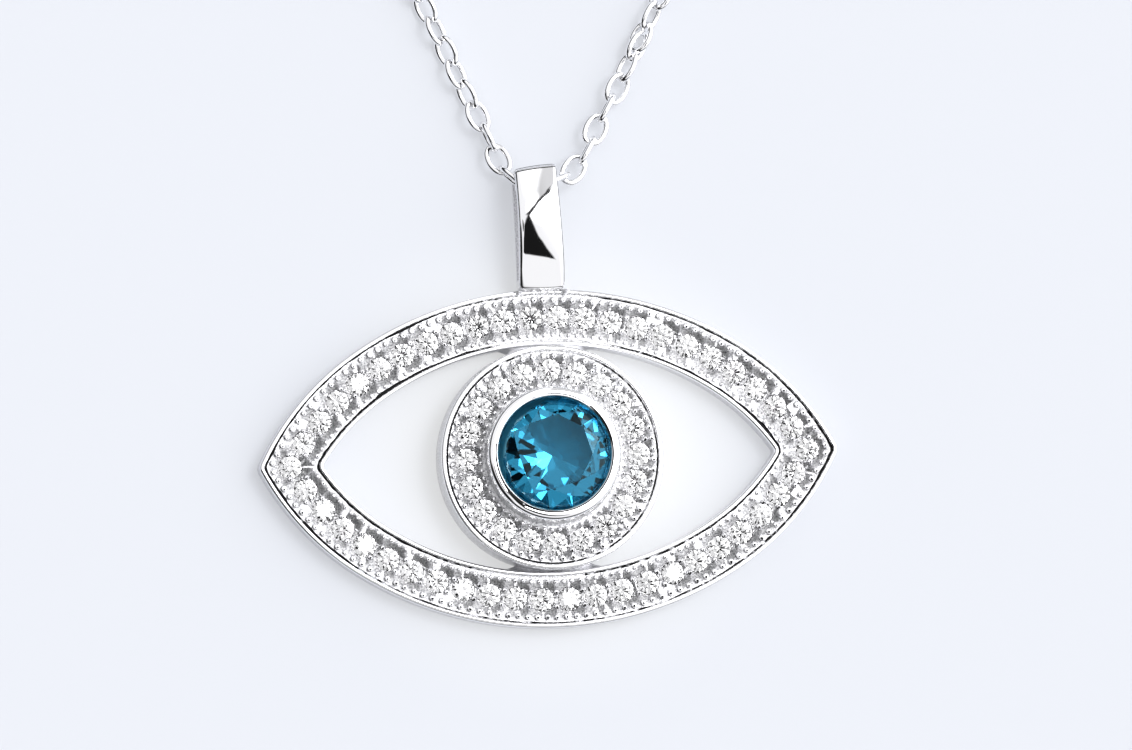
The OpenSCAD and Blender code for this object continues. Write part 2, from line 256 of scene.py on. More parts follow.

# %% [markdown]
# ## Silver
# Sterling silver with a rhodium flash: a cool, nearly white metal. Where a polishing wheel
# reaches, it is a mirror with the faintest waves. Where the wheel can't reach it keeps the
# fine pitted skin of the casting, which scatters the light to a soft grey. The field
# between the stones is cut with a graver, so it is bright but broken up. Both of these skins
# are greyer in their hollows, which paints shade into the grain's pits, and their grain is
# drawn coarser than it is, so that it shows.
# The beads are burnished by their tool, and the solder at the top is brushed to a satin.

# %% Silver skins
def silver(name, colour, rough, grain_mm, depth_mm, detail=2.0, hollows=None):
    """Rhodium flashed silver with grains of a size and depth, greyer in their hollows."""
    made, tree = new_material(name)
    place = add_node(tree, "TexCoord").outputs["Object"]
    grain = add_node(tree, "TexNoise", {
        "Vector": place, "Scale": 1 / (grain_mm * MM), "Detail": detail, "Roughness": 0.55})
    bump = add_node(tree, "Bump", {"Height": grain, "Distance": depth_mm * MM, "Strength": 1.0})
    shade = add_node(tree, "BsdfPrincipled", {
        "Base Color": linear(colour), "Metallic": 1.0, "Roughness": rough, "Normal": bump})
    # The hollows colour is painted shade in the grain's low places, where the same noise sinks the bump
    if hollows:
        mottle = add_node(tree, "ValToRGB", {"Fac": grain}, ((0.38, hollows), (0.56, colour)))
        tree.links.new(mottle.outputs["Color"], shade.inputs["Base Color"])
    add_node(tree, "OutputMaterial", {"Surface": shade})
    return made


polished = silver("silver_rhodium_polished", "#F4F4F5", 0.035, 0.8, 0.0015)
beaded = silver("silver_beading_tool", "#EAEAEC", 0.18, 0.3, 0.004)
satin = silver("silver_satin_brushed", "#F0F0F2", 0.30, 0.3, 0.004)
as_cast = silver("silver_as_cast", "#E8E8EA", 0.42, 0.08, 0.022, 3.0, "#C6C6CA")
graved = silver("silver_graver_cut", "#FAFAFB", 0.55, 0.085, 0.024, 4.0, "#ACACB0")
print("skins:", *(skin.name for skin in (polished, beaded, satin, as_cast, graved)))

# %% [markdown]
# Between each lip and the field runs a fine cut line. It is painted as a thin black outline,
# broken in stretches: painted shade, for the shade in the cut and the dark that it mirrors. The
# same painted dark marks the bezel's groove, the bail's crease and the pits of the beads. Its
# noise is stretched to about half a millimetre, which breaks the line into dashes.

# %% Painted shade in the cut lines
def painted_dark_skin(name, patch_mm, starts, ends):
    """Silver painted dark in patches of a size, as painted shade, bare where the noise passes from starts
    to ends.
    """
    made, tree = new_material(name)
    place = add_node(tree, "TexCoord").outputs["Object"]
    patch = add_node(tree, "TexNoise", {
        "Vector": place, "Scale": 1 / (patch_mm * MM), "Detail": 2.0, "Roughness": 0.6})
    ramp = add_node(tree, "ValToRGB", {"Fac": patch}, ((starts, "#0B0B0C"), (ends, "#C4C4C7")))
    shade = add_node(tree, "BsdfPrincipled", {"Base Color": ramp, "Metallic": 0.85, "Roughness": 0.4})
    add_node(tree, "OutputMaterial", {"Surface": shade})
    return made


# Two strengths of painted shade, for the cut lines, grooves, the bail's crease and the bead pits
painted_dark_broken = painted_dark_skin("silver_painted_dark_cut_broken", 0.5, 0.50, 0.60)
painted_dark = painted_dark_skin("silver_painted_dark_cut", 0.7, 0.68, 0.76)
print("cut lines:", painted_dark_broken.name, "and", painted_dark.name)

# %% [markdown]
# ## Stones
# The white stones are cubic zirconia, cut as round brilliants and polished: clear, with an
# IOR of 2.16, so that nearly all the light that enters comes back out through the top. The
# middle stone has the lower IOR of crystal glass, 1.52. Looked at through the table, much
# light leaks out of its pavilion, which gives the wide even window in its middle. A surface
# tint colours the light at each pass, and the glass takes away more along its way. Towards
# the girdle the tint is painted darker, wider at the upper right: a painted shadow of the
# bezel's rim on the stone's edge.

# %% Stone materials
# How far the painted shadow's ring is moved off the middle, so that it is wider at the upper right
RIM_SHADE_OFF_CENTRE = (0.1 * MM, 0.03 * MM, 0)


def cut_stone(name, colour, ior, soak=None, per_mm=0.0, rim=None):
    """A polished clear stone.

    What soak lacks of white is taken away along the light's way, per_mm as strongly. rim is
    the tint at the girdle, with the two radii in mm between which it comes in."""
    made, tree = new_material(name)
    shade = add_node(tree, "BsdfGlass", {"Color": linear(colour), "Roughness": 0.0, "IOR": ior})
    ends = {"Surface": shade}
    # The rim tint is a painted shadow of the bezel on the stone's edge
    if rim:
        tone, starts, full = rim
        place = add_node(tree, "TexCoord").outputs["Object"]
        flat = add_node(tree, "VectorMath", {0: place, 1: (1, 1, 0), 2: RIM_SHADE_OFF_CENTRE}, operation="MULTIPLY_ADD")
        reach = add_node(tree, "VectorMath", {0: flat}, operation="LENGTH")
        near_rim = add_node(tree, "MapRange", dict(zip(RANGE, (reach, starts * MM, full * MM))))
        tint = add_node(tree, "ValToRGB", {"Fac": near_rim}, ((0, colour), (1, tone)))
        tree.links.new(tint.outputs["Color"], shade.inputs["Color"])
    if soak:
        ends["Volume"] = add_node(tree, "VolumeAbsorption", {"Color": linear(soak), "Density": per_mm / MM})
    add_node(tree, "OutputMaterial", ends)
    return made


seat_skin = silver("silver_unpolished_seat", "#E6EEF2", 0.85, 0.3, 0.01)
zirconia = cut_stone("cubic_zirconia_white", "#FEFEFE", 2.16)
blue_crystal = cut_stone("crystal_glass_teal_blue", "#B8E1EC", 1.52, soak="#30D1E4", per_mm=0.10,
                         rim=("#5E94A6", 2.38, 2.47))
frame["nodes"]["clasp"].data.materials[0] = polished
print("stones:", zirconia.name, "and", blue_crystal.name)

# %% [markdown]
# ## Making a piece
# Every metal piece is worked out as points in millimetres and faces between them. One
# function turns those into an object that rides on the body, welds shared points, shades
# it smooth and keeps the creases sharper than a given angle.

# %% Piece maker
def make_piece(name, points, faces, skins, skin_of=None, crease=28, slot="silver", replaces="eye_setting"):
    """Points in mm, faces by index, skins is a list of materials and skin_of a number per face."""
    mesh = bpy.data.meshes.new(name)
    corners = [tuple(p) for p in np.asarray(points, float) * MM]
    mesh.from_pydata(corners, [], [tuple(int(i) for i in f) for f in faces])
    for skin in skins:
        mesh.materials.append(skin)
    if skin_of is not None:
        mesh.polygons.foreach_set("material_index", np.asarray(skin_of, np.int32))
    welded = bmesh.new()
    welded.from_mesh(mesh)
    bmesh.ops.remove_doubles(welded, verts=welded.verts, dist=0.0004 * MM)
    bmesh.ops.dissolve_degenerate(welded, edges=welded.edges, dist=0.0002 * MM)
    bmesh.ops.recalc_face_normals(welded, faces=welded.faces)
    loose = sum(not e.is_manifold for e in welded.edges)
    welded.to_mesh(mesh)
    welded.free()
    mesh.polygons.foreach_set("use_smooth", [True] * len(mesh.polygons))
    mesh.set_sharp_from_angle(angle=radians(crease))
    made = bpy.data.objects.new(name, mesh)
    scene.collection.objects.link(made)
    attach(made, "root")
    if replaces:
        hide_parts(replaces)
    print(name, len(mesh.polygons), "faces,", loose, "open edges")


def add_ring(points, rings, ring):
    """Adds a ring's points to the points, and their numbers to the rings."""
    rings.append(list(range(len(points), len(points) + len(ring))))
    points += ring


def bridge(rings, wrap=True):
    """Quads between neighbouring rings of point numbers. wrap joins the last ring to the first."""
    faces = []
    for a, b in zip(rings, rings[1:] + rings[:1] if wrap else rings[1:]):
        n = len(a)
        faces += [(a[k], a[(k + 1) % n], b[(k + 1) % n], b[k]) for k in range(n)]
    return faces


# %% [markdown]
# ## The eye's outline
# The outline is two long arcs, each running into two tighter ones that meet at the tips, as
# in the CAD source. Here the tips are softened with a small arc, as a polished casting's
# are. A depth is measured inwards from the outer edge, and one function gives a whole loop
# of points at any depth, always with the same number of them.

# %% Outline
EYE_L, EYE_H, BROW_R, FLANK_R, BAND_W = 28.0, 16.2, 17.0, 13.2, 2.7
brow = np.array([0, EYE_H / 2 - BROW_R])


def circles_meet(a, ra, b, rb):
    """The right-hand meeting point of two circles."""
    gap = np.linalg.norm(b - a)
    u = (b - a) / gap
    along = (ra * ra - rb * rb + gap * gap) / (2 * gap)
    aside = sqrt(ra * ra - along * along)
    return a + along * u + aside * np.array([u[1], -u[0]]) * (-1 if u[0] > 0 else 1)


flank = circles_meet(brow, BROW_R - FLANK_R, np.array([EYE_L / 2, 0.0]), FLANK_R)
turn = atan2(flank[0], flank[1] - brow[1])


def tip_turn(depth):
    """The angle at which the loop at that depth meets the long axis."""
    return acos(-flank[1] / (FLANK_R - depth))


def loop(depth, in_brow=72, in_flank=60, in_tip=10):
    """Points of the whole outline at a depth, anticlockwise from the right tip."""
    soft = float(np.interp(depth, [0, 0.3, 2.0, 2.7], [0.5, 0.25, 0.9, 0.25]))
    bend = tip_turn(depth + soft)
    tip_c = flank[0] + sqrt((FLANK_R - depth - soft) ** 2 - flank[1] ** 2)
    arcs = ((np.array([tip_c, 0]), soft, pi / 2, bend, in_tip),
            (flank, FLANK_R - depth, bend, turn, in_flank), (brow, BROW_R - depth, turn, 0, in_brow))
    q = np.array([tuple(middle + r * np.array([sin(a), cos(a)]))
                  for middle, r, start, end, count in arcs for a in np.linspace(start, end, count)[:-1]])
    top = np.array([[0, brow[1] + BROW_R - depth]])
    half = np.vstack([q, top, (q * [-1, 1])[:0:-1]])
    return np.vstack([half, -half])


def edge_point(depth, a):
    """A point of the upper half where its face turns by angle a."""
    facing = np.array([sin(a), cos(a)])
    if abs(a) < turn:
        return brow + (BROW_R - depth) * facing
    return np.array([copysign(flank[0], a), flank[1]]) + (FLANK_R - depth) * facing


def along(depth, share):
    """The point at a share of the way round the sharp-tipped loop, from the right tip."""
    brow_run = (BROW_R - depth) * turn
    flank_run = (FLANK_R - depth) * (tip_turn(depth) - turn)
    quarter = brow_run + flank_run
    run = share % 1 * 4 * quarter
    side = 1 if run < 2 * quarter else -1
    from_top = quarter - (run if side > 0 else run - 2 * quarter)
    s = abs(from_top)
    a = s / (BROW_R - depth) if s < brow_run else turn + (s - brow_run) / (FLANK_R - depth)
    a = copysign(a, from_top)
    return side * edge_point(depth, a)


print("loop of", len(loop(0)), "points, tip at", np.round(loop(0)[0], 2))

# %% [markdown]
# ## The band
# The band is cast with a thin lip on both edges. Between them lies a sunk field, drilled
# with a seat for every stone: a short straight wall, and under it a cone. The cones are
# polished, since a dull one would ring each stone with a dark halo. The field is filled
# with triangles round the holes, which gives clean round seats without a boolean.

# %% Field with holes
EYE_N, IRIS_N, STONE_D = 46, 20, 1.1
SEAT_R = STONE_D / 2 + 0.024
# Radius and depth down a seat
SEAT = ((SEAT_R, 0), (SEAT_R, 0.2), (0.10, 0.66))
STONE_Z, FIELD_Z = 1.04, 1.11


def circle(centre, r, n=32):
    """Points of a circle."""
    return [(centre[0] + r * cos(2 * pi * k / n), centre[1] + r * sin(2 * pi * k / n))
            for k in range(n)]


def inside(points, ring):
    """Which of the points lie inside a closed ring."""
    x, y = points[:, :1], points[:, 1:]
    a, b = np.asarray(ring), np.roll(ring, -1, axis=0)
    cut_x = (b[:, 0] - a[:, 0]) * (y - a[:, 1]) / (b[:, 1] - a[:, 1] + 1e-12) + a[:, 0]
    crossing = ((a[:, 1] > y) != (b[:, 1] > y)) & (x < cut_x)
    return crossing.sum(1) % 2 == 1


def field(outer, inner, centres, z):
    """Triangles between two rings, round a seat at each centre. Skin 1 marks the seats."""
    flat, edges = [], []
    for ring in [list(map(tuple, outer)), list(map(tuple, inner))] + [circle(c, SEAT_R) for c in centres]:
        start = len(flat)
        flat += ring
        edges += [(start + k, start + (k + 1) % len(ring)) for k in range(len(ring))]
    out = delaunay_2d_cdt([Vector(p) for p in flat], edges, [], 0, 1e-6)
    xy = np.array([tuple(p) for p in out[0]])
    mid = np.array([xy[list(f)].mean(0) for f in out[2]])
    keep = inside(mid, outer) & ~inside(mid, inner)
    for c in centres:
        keep &= np.linalg.norm(mid - np.asarray(c), axis=1) > SEAT_R * 0.98
    points = [(p[0], p[1], z) for p in xy]
    faces = [tuple(f) for f, k in zip(out[2], keep) if k]
    skin = [0] * len(faces)
    for c in centres:
        rims = []
        for r, down in SEAT:
            add_ring(points, rims, [(x, y, z - down) for x, y in circle(c, r)])
        cone = bridge(rims, wrap=False) + [tuple(rims[-1])]
        faces += cone
        skin += [1] * len(cone)
    return points, faces, skin


print(EYE_N + IRIS_N, "seats,", SEAT[-1][1], "mm deep")

# %% Lip sections
# Each is depth and height across the lip. The cut line lies between the lip and the field.
outer_lip = [
    (0.06, 0.0), (0.015, 0.02), (0.0, 0.06), (0.0, 0.45), (0.0, 0.85), (0.0, 1.08), (0.008, 1.125),
    (0.028, 1.158), (0.056, 1.180), (0.09, 1.193), (0.125, 1.2), (0.16, 1.197), (0.19, 1.184), (0.21, 1.16),
    (0.22, 1.125), (0.222, 0.99),
]
inner_lip = [
    (2.468, 0.99), (2.47, 1.10), (2.478, 1.145), (2.493, 1.172), (2.515, 1.19), (2.545, 1.199), (2.58, 1.2),
    (2.615, 1.194), (2.645, 1.178), (2.67, 1.15), (2.688, 1.11), (2.7, 1.06), (2.7, 0.8), (2.7, 0.45),
    (2.7, 0.06), (2.685, 0.02), (2.64, 0.0),
]
CUT_W, CUT_TOP, CUT_LOW = 0.07, 0.99, 0.985


def swell(share, peaks):
    """How much wider a cut line is at a share of the way round, from a list of peaks."""
    wide = 0.0
    for middle_share, reach, tall in peaks:
        off = (share - middle_share + 0.5) % 1 - 0.5
        wide += tall * exp(-(off / reach) ** 2)
    return wide + 0.012 * sin(share * 190) + 0.014 * sin(share * 420 + 1) * sin(share * 37)


def sweep_loops(profile):
    """Rings of points for a profile of depth and height swept round the eye."""
    points, rings = [], []
    for depth, z in profile:
        add_ring(points, rings, [(x, y, z) for x, y in loop(depth)])
    return points, rings


def merge(parts):
    """Joins lists of points, faces and skins into one."""
    points, faces, skin = [], [], []
    for p, f, s in parts:
        shift = len(points)
        points += [tuple(q) for q in p]
        faces += [tuple(i + shift for i in g) for g in f]
        skin += list(s)
    return points, faces, skin


def cut_line(depth_a, depth_b, widths):
    """The cut between a lip's foot and the field. Gives its faces and the field's edge ring."""
    a, b = loop(depth_a), loop(depth_b)
    across_cut = (b - a) * widths[:, None]
    edge = a + across_cut
    points, rings = [], []
    for ring, z in ((a, CUT_TOP), (a + across_cut * 0.85, CUT_LOW), (edge, FIELD_Z)):
        add_ring(points, rings, [(x, y, z) for x, y in ring])
    return points, bridge(rings, wrap=False), edge


print("lips", outer_lip[-1][0], "and", round(BAND_W - inner_lip[0][0], 3), "mm wide")

# %% Band
eye_places = [along(BAND_W / 2, i / EYE_N) for i in range(EYE_N)]
out_points, out_rings = sweep_loops(outer_lip)
in_points, in_rings = sweep_loops(inner_lip)
under_points, under_rings = sweep_loops([outer_lip[0], inner_lip[-1]])
n_loop = len(out_rings[0])
shares = np.arange(n_loop) / n_loop
OUT_PEAKS = ((0.0, 0.06, 0.06), (0.34, 0.015, 0.05), (0.5, 0.045, 0.05), (0.58, 0.05, 0.05),
             (0.9, 0.03, 0.02))
IN_PEAKS = ((0.045, 0.03, 0.07), (0.37, 0.02, 0.06), (0.5, 0.03, 0.03))
out_w = [CUT_W - 0.008 + swell(t, OUT_PEAKS) for t in shares]
in_w = [CUT_W + 0.01 + swell(t, IN_PEAKS) for t in shares]
cut_a, cut_a_faces, field_out = cut_line(0.222, 0.322, np.array(out_w) / 0.1)
cut_b, cut_b_faces, field_in = cut_line(2.468, 2.318, np.array(in_w) / 0.15)
# Along each cut line some stretches are painted black as painted shade, some are broken dashes and some are
# bare
BARE, BROKEN, BLACK = 2, 3, 4
solid_out = [BLACK if (t < 0.2 or t > 0.92 or 0.31 < t < 0.62) else BARE if 0.22 < t < 0.275 else BROKEN
             for t in shares] * 2
solid_in = [BLACK if (t < 0.17 or 0.31 < t < 0.66 or t > 0.88)
            else BARE if 0.2 < t < 0.285 or 0.70 < t < 0.77 else BROKEN for t in shares] * 2
f_points, f_faces, f_skin = field(field_out, field_in, eye_places, FIELD_Z)


def wall_skins(profile, count, outside):
    """Cast skin on a lip's upright wall and underside, polished on its top."""
    return [1 if (abs(a[0] - outside) < 0.02 and max(a[1], b[1]) < 1.09) else 0
            for a, b in zip(profile, profile[1:]) for _ in range(count)]


band_parts = merge([
    (out_points, bridge(out_rings, wrap=False), wall_skins(outer_lip, n_loop, 0.0)),
    (in_points, bridge(in_rings, wrap=False), wall_skins(inner_lip, n_loop, BAND_W)),
    (under_points, bridge(under_rings, wrap=False), [1] * n_loop),
    (cut_a, cut_a_faces, solid_out),
    (cut_b, cut_b_faces, solid_in),
    (f_points, f_faces, [0 if k else 2 for k in f_skin]),
])
band_skins = [polished, as_cast, graved, painted_dark_broken, painted_dark]
make_piece("band", band_parts[0], band_parts[1], band_skins, band_parts[2])

# %% [markdown]
# ## Beads
# The stones are held by beads raised from the field and pushed over their edges. A
# milgrain row, three beads to a stone, runs inside the outer lip, and a finer one inside
# the inner lip. The beading tool's cup leaves a small pit in the crown, and the pit is
# painted black, so most beads carry a dark dot: a painted reflection of the dark lens and
# shade overhead. The pits, and so the dots, are larger towards the lower right. All beads
# of a part are one mesh.

# %% Bead maker
DOME = [(s, (1 - s ** 2.4) ** (1 / 2.4)) for s in (0.3, 0.45, 0.6, 0.74, 0.86, 0.95, 1.0)] + [(1.03, -0.4)]


def beads(places, around=16):
    """Beads at places: x, y, field height, radius, height and the pit's share of the radius."""
    points, faces, skin = [], [], []
    turns = [(cos(a), sin(a)) for a in np.linspace(0, 2 * pi, around, endpoint=False)]
    for x, y, z, r, tall, pit in places:
        start, rings = len(points), []
        pit_x, pit_y = x + 0.10 * r, y - 0.10 * r
        points.append((pit_x, pit_y, z + tall * 0.86))
        pit_z = z + tall * 0.995
        add_ring(points, rings, [(pit_x + pit * r * c, pit_y + pit * r * s, pit_z) for c, s in turns])
        for wide, high in DOME:
            if wide > pit + 0.12:
                ring = [(x + r * wide * c, y + r * wide * s, z + tall * high) for c, s in turns]
                add_ring(points, rings, ring)
        # The pit's faces take the second skin, painted black as a painted reflection
        faces += [(start, rings[0][k], rings[0][(k + 1) % around]) for k in range(around)]
        skin += [1] * around
        sides = bridge(rings, wrap=False) + [tuple(reversed(rings[-1]))]
        faces += sides
        skin += [0] * len(sides)
    return points, faces, skin


def pit_share(x, y, half_l, half_h, i):
    """The size of a bead's pit, larger towards the lower right."""
    lower_right = 0.5 + 0.28 * x / half_l - 0.34 * y / half_h
    return 0.22 + 0.13 * min(max(lower_right, 0), 1) + 0.04 * sin(i * 4.7)


def row(depth, count, r, tall, shift=0.5):
    """A row of beads round the eye at a depth, each a little unlike the next."""
    placed = []
    for i in range(count):
        x, y = along(depth + 0.012 * sin(i * 2.3), (i + shift) / count)
        wide, high = r * (1 + 0.07 * sin(i * 1.7)), tall * (1 + 0.08 * sin(i * 3.1))
        placed.append((x, y, FIELD_Z, wide, high, pit_share(x, y, EYE_L / 2, EYE_H / 2, i)))
    return placed


outer_row = row(0.515, 3 * EYE_N, 0.172, 0.13)
inner_row = row(2.20, 3 * EYE_N, 0.118, 0.09)
prongs = row(1.00, EYE_N, 0.155, 0.16) + row(1.70, EYE_N, 0.150, 0.16)
p, f, s = beads(outer_row + inner_row + prongs)
make_piece("band_beads", p, f, [beaded, painted_dark], s, crease=40)

# %% [markdown]
# ## Disc and bezel
# The iris is a turned disc with a lip, a ring of stones in a sunk field, and in the middle
# a smooth round tube, the bezel, whose rim is rubbed over the blue stone's edge.

# %% Disc
IRIS_R, IRIS_FLOOR, IRIS_FIELD, BEZEL_R, BEZEL_H, TURNS = 5.35, 1.94, 2.01, 3.225, 3.4, 192
ring_r = (BEZEL_R + IRIS_R - 0.26) / 2
iris_places = [ring_r * np.array([cos(a), sin(a)]) for a in (radians(90 + i * 18) for i in range(IRIS_N))]
disc_profile = [
    (0.0, 0.0), (5.28, 0.0), (5.335, 0.02), (5.35, 0.06), (5.35, 0.7), (5.35, 1.4), (5.35, 1.97),
    (5.344, 2.02), (5.325, 2.06), (5.295, 2.085), (5.26, 2.097), (5.21, 2.1), (5.165, 2.097), (5.13, 2.083), (5.108, 2.06),
    (5.095, 2.02), (5.09, 1.89),
]
disc_cut = [(5.09, 1.89), (5.035, 1.885), (5.02, IRIS_FIELD)]
bezel_profile = [
    (3.29, IRIS_FIELD), (3.265, 1.97), (3.24, 1.97), (3.225, 2.0), (3.225, 2.4), (3.225, 3.05),
    (3.222, 3.12), (3.205, 3.20), (3.17, 3.275), (3.12, 3.335), (3.06, 3.375), (2.99, 3.395), (2.92, 3.4), (2.855, 3.397),
    (2.84, 3.36), (2.80, 3.35), (2.785, 3.384), (2.745, 3.365), (2.70, 3.325), (2.672, 3.28), (2.65, 3.25),
    (2.655, 3.235), (2.79, 3.185), (2.79, 2.94), (0.3, 0.5), (0.0, 0.5),
]
LEANS = np.array([-0.10, 0.12]) / (BEZEL_H - IRIS_FLOOR)


def turned(profile):
    """A profile of radius and height turned round the middle."""
    points, rings = [], []
    for r, z in profile:
        if r == 0:
            rings.append([len(points)] * TURNS)
            points.append((0, 0, z))
        else:
            add_ring(points, rings, [(x, y, z) for x, y in circle((0, 0), r, TURNS)])
    return points, [tuple(dict.fromkeys(f)) for f in bridge(rings, wrap=False)]


def turned_skins(profile, picked, skin):
    """A skin's number on the stretches of a profile that picked chooses, 0 on the others."""
    return [skin if picked(a, b) else 0 for a, b in zip(profile, profile[1:]) for _ in range(TURNS)]


d_points, d_faces = turned(disc_profile)
b_points, b_faces = turned(bezel_profile)
degrees = [k * 360 / TURNS for k in range(TURNS)]
# A groove runs along the inner side of the bezel's rim. It is widest at the lower left, and
# painted black as painted shade, except at the top and upper left. The rim's inner edge is
# painted black all round, as painted shade under the rim.
GROOVE, GROOVE_R, EDGE, SEAT_FROM, DULL = {13: 0.075, 14: 0.05}, 2.84, 20, 22, 5
for number, wider in GROOVE.items():
    for k, angle in enumerate(degrees):
        push = 1 + wider * exp(-((angle - 228) / 24) ** 2) / GROOVE_R
        x, y, z = b_points[number * TURNS + k]
        b_points[number * TURNS + k] = (x * push, y * push, z)
b_points = [(x + LEANS[0] * max(z - IRIS_FLOOR, 0), y + LEANS[1] * max(z - IRIS_FLOOR, 0), z)
            for x, y, z in b_points]
b_skin = turned_skins(bezel_profile, lambda a, b: min(a[0], b[0]) > 3.2 and max(a[1], b[1]) < 3.06, 2)
for strip in (13, 14, 15):
    b_skin[strip * TURNS:(strip + 1) * TURNS] = [0 if 50 < angle < 168 else BLACK for angle in degrees]
b_skin[EDGE * TURNS:SEAT_FROM * TURNS] = [BLACK] * ((SEAT_FROM - EDGE) * TURNS)
b_skin[SEAT_FROM * TURNS:] = [DULL] * (len(b_skin) - SEAT_FROM * TURNS)
field_out, field_in = (circle((0, 0), r, TURNS) for r in (disc_cut[-1][0], bezel_profile[0][0]))
i_points, i_faces, i_skin = field(field_out, field_in, iris_places, IRIS_FIELD)
c_points, c_faces = turned(disc_cut)
# The disc's cut line is painted the same way: black as painted shade on its left and lower side, bare near
# the top, broken elsewhere
c_skin = [BLACK if 118 < angle < 275 else BARE if 62 < angle < 105 else BROKEN for angle in degrees] * 2
disc_parts = merge([
    (d_points, d_faces, turned_skins(disc_profile, lambda a, b: max(a[1], b[1]) < 1.98, 1)),
    (b_points, b_faces, b_skin), (c_points, c_faces, c_skin),
    (i_points, i_faces, [0 if k else 2 for k in i_skin]),
])
make_piece("iris_disc", disc_parts[0], disc_parts[1], band_skins + [seat_skin], disc_parts[2])

# %% Disc beads
def round_row(r_row, count, r, tall, shift=0.5):
    """A row of beads round the disc."""
    placed = []
    for i in range(count):
        a = radians(90 + (i + shift) * 360 / count)
        x, y = r_row * cos(a), r_row * sin(a)
        wide = r * (1 + 0.06 * sin(i * 1.9))
        placed.append((x, y, IRIS_FIELD, wide, tall, pit_share(x, y, IRIS_R, IRIS_R, i)))
    return placed


disc_rows = (round_row(4.845, 3 * IRIS_N, 0.168, 0.13) + round_row(3.47, 3 * IRIS_N, 0.112, 0.09)
             + round_row(4.53, IRIS_N, 0.155, 0.16) + round_row(3.80, IRIS_N, 0.14, 0.16))
p, f, s = beads(disc_rows)
make_piece("disc_beads", p, f, [beaded, painted_dark], s, crease=40)

# %% [markdown]
# ## Solder webs
# Above and below, the disc touches the band and the gap beside the touch is filled with
# solder, which draws itself into a hollow between the two walls.

# %% Webs
def web(side, reach=2.35, n=40, m=8):
    """Solder in the gap at the top, side 1, or at the bottom, side -1."""
    points, rings = [], []
    for k in range(n + 1):
        x = reach * (2 * k / n - 1)
        near = sqrt(5.33 ** 2 - x * x)
        far = max(brow[1] + sqrt((BROW_R - 2.68) ** 2 - x * x), near + 0.02)
        end = (abs(x) / reach) ** 3
        ring = []
        for on_top, steps, drawn_in in ((True, range(m + 1), 0.22), (False, range(m, -1, -1), 0.30)):
            for t in (j / m for j in steps):
                hollow = (2 * t - 1) ** 2
                z = 0.92 - 0.26 * end + 0.22 * hollow if on_top else 0.16 + 0.44 * end
                ring.append((x * (1 - drawn_in * end * (1 - hollow)), side * (near + (far - near) * t), z))
        add_ring(points, rings, ring)
    faces = bridge(rings, wrap=False) + [tuple(rings[0]), tuple(reversed(rings[-1]))]
    return points, faces


make_piece("solder_web_top", *web(1), [satin])
make_piece("solder_web_bottom", *web(-1), [as_cast])

# %% [markdown]
# ## Cut stones
# All stones are round brilliants: a flat table, three rows of crown facets, a thin girdle
# and a pavilion that comes to a point. The white ones have the CAD source's proportions,
# but for a small chance change of the pavilion. The blue one has a wider table, a lower
# crown and a shallower pavilion, read from the photograph. Facets stay flat and their edges
# sharp, since a brilliant lives by them. No setter gets every stone level: most small ones
# are tipped five to ten degrees towards the photographer's shade, and that decides which of
# their facets turn dark and which light up.

# %% Brilliant
def brilliant(d, table=0.57, crown=0.15, girdle=0.03, pavilion=0.43, keel=0.22):
    """A round brilliant of diameter d with its girdle's lower edge at height 0."""
    g, c8 = d / 2, cos(pi / 8)
    table_r, keel_r = table * g, keel * g
    star_r = (table_r * c8 + g) / 2
    star_z = girdle * d + crown * d * (g - star_r * c8) / (g - table_r)

    def corners(n, r, z, start=0.0):
        turns = [start + 2 * pi * i / n for i in range(n)]
        return [(r * cos(a), r * sin(a), z) for a in turns]

    points = corners(8, table_r, (girdle + crown) * d) + corners(8, star_r, star_z, pi / 8)
    points += corners(16, g, girdle * d) + corners(16, g, 0.0)
    points += corners(8, keel_r, -pavilion * d * (1 - keel_r * c8 / g), pi / 8) + [(0, 0, -pavilion * d)]
    st, top, low, kl, cu = 8, 16, 32, 48, 56
    faces = [tuple(range(8))]
    for k in range(8):
        faces += [(k, st + k, (k + 1) % 8), (k, st + (k + 7) % 8, top + 2 * k, st + k),
                  (st + k, top + 2 * k, top + 2 * k + 1), (st + k, top + 2 * k + 1, top + (2 * k + 2) % 16),
                  (kl + k, low + 2 * k + 1, low + 2 * k), (kl + k, low + (2 * k + 2) % 16, low + 2 * k + 1),
                  (cu, kl + k, low + 2 * k, kl + (k + 7) % 8)]
    faces += [(top + k, low + k, low + (k + 1) % 16, top + (k + 1) % 16) for k in range(16)]
    return np.array(points), faces


def set_stone(d, centre, spin, tip, tip_way, **shares_cut):
    """A brilliant turned by spin and tipped towards a direction, with its girdle at centre."""
    points, faces = brilliant(d, **shares_cut)
    axis = Vector((-sin(tip_way), cos(tip_way), 0))
    turned_by = np.array(Matrix.Rotation(tip, 3, axis) @ Matrix.Rotation(spin, 3, "Z"))
    return points @ turned_by.T + np.asarray(centre), faces


# %% Small stones
TIPPED = 0.85


def small_stones(places, z, seed):
    """Stones in all seats, each with a tip of its own."""
    chance = np.random.default_rng(seed)
    parts = []
    for x, y in places:
        tip = radians(abs(chance.normal(0, 2.4)))
        tip_way, spin = chance.uniform(0, 2 * pi), chance.uniform(0, pi)
        if chance.uniform() < TIPPED:
            tip, tip_way = radians(chance.uniform(5, 10)), radians(chance.uniform(175, 240))
        pav = 0.43 + chance.uniform(-0.015, 0.015)
        p, f = set_stone(STONE_D, (x, y, z + chance.uniform(-0.01, 0.01)), spin, tip, tip_way, pavilion=pav)
        parts.append((p, f, [0] * len(f)))
    return merge(parts)


